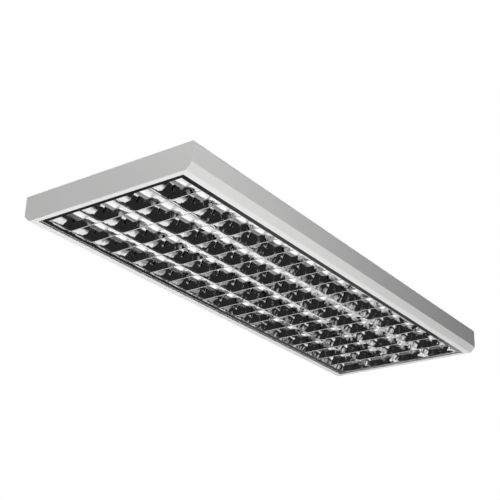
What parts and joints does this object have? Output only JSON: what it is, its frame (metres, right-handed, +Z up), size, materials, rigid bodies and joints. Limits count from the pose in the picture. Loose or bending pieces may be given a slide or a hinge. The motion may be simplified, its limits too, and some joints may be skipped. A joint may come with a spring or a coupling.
{
  "type": "louvre luminaire",
  "caption": "Flat white ceiling-mounted light: a folded steel housing with straight fluorescent tubes behind a hinged mirror louvre of open cells.",
  "frame": {"origin": "centre of the back panel's outer face, which lies on the ceiling", "axes": "+X along the tubes, +Y across them towards the hinged side, +Z up into the ceiling"},
  "size_m": [1.2, 0.435, 0.0575],
  "materials": {
    "white_paint": "white powder coat, satin",
    "mirror_aluminium": "bright anodised mirror",
    "lamp_glass": "opal, coated inside",
    "lamp_cap": "plain",
    "rotor_plastic": "plain",
    "holder_plastic": "plain",
    "zinc_steel": "zinc plated",
    "spring_steel": "rolled spring strip",
    "gear_case": "satin case",
    "terminal_plastic": "plain",
    "bush_rubber": "moulded",
    "wire_sleeve": "smooth"
  },
  "bodies": {
    "housing": {"back_panel": "white_paint", "side_rail_near": "white_paint", "side_rail_far": "white_paint", "end_cap_left": "white_paint", "end_cap_right": "white_paint", "lampholder_brackets": "zinc_steel", "hinge_brackets": "zinc_steel", "lampholder_left_1": "holder_plastic", "lampholder_left_2": "holder_plastic", "lampholder_left_3": "holder_plastic", "lampholder_left_4": "holder_plastic", "lampholder_right_1": "holder_plastic", "lampholder_right_2": "holder_plastic", "lampholder_right_3": "holder_plastic", "lampholder_right_4": "holder_plastic", "ballast_1": "gear_case", "ballast_2": "gear_case", "ballast_plugs": "terminal_plastic", "terminal_block": "terminal_plastic", "wiring": "wire_sleeve", "cable_bush": "bush_rubber", "studs_and_nuts": "zinc_steel"},
    "louvre": {"ridge_reflector_1": "mirror_aluminium", "ridge_reflector_2": "mirror_aluminium", "ridge_reflector_3": "mirror_aluminium", "side_reflector_near": "mirror_aluminium", "side_reflector_far": "mirror_aluminium", "end_reflector_left": "mirror_aluminium", "end_reflector_right": "mirror_aluminium", "cross_blade_01": "mirror_aluminium", "cross_blade_02": "mirror_aluminium", "cross_blade_03": "mirror_aluminium", "cross_blade_04": "mirror_aluminium", "cross_blade_05": "mirror_aluminium", "cross_blade_06": "mirror_aluminium", "cross_blade_07": "mirror_aluminium", "cross_blade_08": "mirror_aluminium", "cross_blade_09": "mirror_aluminium", "cross_blade_10": "mirror_aluminium", "cross_blade_11": "mirror_aluminium", "cross_blade_12": "mirror_aluminium", "cross_blade_13": "mirror_aluminium", "cross_blade_14": "mirror_aluminium", "cross_blade_15": "mirror_aluminium", "cross_blade_16": "mirror_aluminium", "cross_blade_17": "mirror_aluminium", "louvre_hinge_lugs": "zinc_steel", "louvre_spring_clips": "spring_steel"},
    "lamp_1": {"lamp_tube_1": "lamp_glass", "lamp_caps_1": "lamp_cap", "lamp_rotors_1": "rotor_plastic"},
    "lamp_2": {"lamp_tube_2": "lamp_glass", "lamp_caps_2": "lamp_cap", "lamp_rotors_2": "rotor_plastic"},
    "lamp_3": {"lamp_tube_3": "lamp_glass", "lamp_caps_3": "lamp_cap", "lamp_rotors_3": "rotor_plastic"},
    "lamp_4": {"lamp_tube_4": "lamp_glass", "lamp_caps_4": "lamp_cap", "lamp_rotors_4": "rotor_plastic"}
  },
  "joints": [
    {"name": "louvre_swing", "type": "hinge", "parent": "housing", "child": "louvre", "pos_m": [0, 0.181, -0.049], "axis": [1, 0, 0], "range_deg": [0, 90]},
    {"name": "lamp_1_turn", "type": "hinge", "parent": "housing", "child": "lamp_1", "pos_m": [0, -0.135, -0.0265], "axis": [1, 0, 0], "range_deg": [0, 90]},
    {"name": "lamp_2_turn", "type": "hinge", "parent": "housing", "child": "lamp_2", "pos_m": [0, -0.045, -0.0265], "axis": [1, 0, 0], "range_deg": [0, 90]},
    {"name": "lamp_3_turn", "type": "hinge", "parent": "housing", "child": "lamp_3", "pos_m": [0, 0.045, -0.0265], "axis": [1, 0, 0], "range_deg": [0, 90]},
    {"name": "lamp_4_turn", "type": "hinge", "parent": "housing", "child": "lamp_4", "pos_m": [0, 0.135, -0.0265], "axis": [1, 0, 0], "range_deg": [0, 90]}
  ]
}
